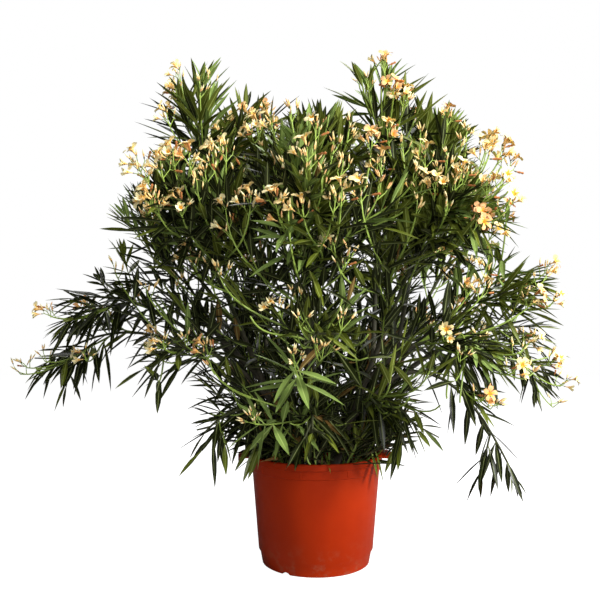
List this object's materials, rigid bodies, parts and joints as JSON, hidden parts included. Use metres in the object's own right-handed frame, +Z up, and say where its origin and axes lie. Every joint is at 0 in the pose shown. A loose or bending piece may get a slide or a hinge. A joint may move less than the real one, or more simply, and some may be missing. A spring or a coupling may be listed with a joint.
{
  "type": "potted oleander",
  "caption": "Flowering oleander shrub: stems fanning out of a round plastic nursery pot, narrow evergreen leaves and open blossom.",
  "frame": {"origin": "centre of the pot's flat underside, which stands on the ground", "axes": "+Z up, +X to the right of the shrub's front, -Y towards its front"},
  "size_m": [1.3206, 0.9949, 1.1356],
  "materials": {
    "pot": "satin moulded plastic",
    "soil": "moist peat compost",
    "bark": "grey-brown bark",
    "foliage": "leathery evergreen leaves"
  },
  "bodies": {
    "root": {"bough_arm_left_inner": "bark", "bough_arm_left_tip": "bark", "bough_arm_left_upper": "bark", "bough_arm_right_drooping": "bark", "bough_arm_right_middle": "bark", "bough_arm_right_tip": "bark", "bough_arm_right_upper": "bark", "bough_crown_back_left": "bark", "bough_crown_front": "bark", "bough_crown_right": "bark", "bough_flank_back": "bark", "bough_flank_back_left": "bark", "bough_flank_back_right": "bark", "bough_flank_front": "bark", "bough_flank_front_left": "bark", "bough_flank_front_right": "bark", "bough_tuft_left": "bark", "bough_tuft_right": "bark", "foliage_arm_left_inner": "foliage", "foliage_arm_left_tip": "foliage", "foliage_arm_left_upper": "foliage", "foliage_arm_right_drooping": "foliage", "foliage_arm_right_middle": "foliage", "foliage_arm_right_tip": "foliage", "foliage_arm_right_upper": "foliage", "foliage_crown_back_left": "foliage", "foliage_crown_front": "foliage", "foliage_crown_right": "foliage", "foliage_flank_back": "foliage", "foliage_flank_back_left": "foliage", "foliage_flank_back_right": "foliage", "foliage_flank_front": "foliage", "foliage_flank_front_left": "foliage", "foliage_flank_front_right": "foliage", "foliage_shoulder_back": "foliage", "foliage_shoulder_back_left": "foliage", "foliage_shoulder_back_right": "foliage", "foliage_shoulder_front": "foliage", "foliage_shoulder_front_left": "foliage", "foliage_shoulder_front_right": "foliage", "foliage_shoulder_left": "foliage", "foliage_shoulder_right": "foliage", "foliage_skirt_back": "foliage", "foliage_skirt_back_left": "foliage", "foliage_skirt_back_right": "foliage", "foliage_skirt_front": "foliage", "foliage_skirt_front_left": "foliage", "foliage_skirt_front_right": "foliage", "foliage_tuft_left": "foliage", "foliage_tuft_right": "foliage", "pot": "pot", "soil": "soil", "stem_back": "bark", "stem_back_left": "bark", "stem_back_right": "bark", "stem_front": "bark", "stem_front_left": "bark", "stem_front_right": "bark", "stem_left": "bark", "stem_right": "bark"}
  },
  "joints": []
}
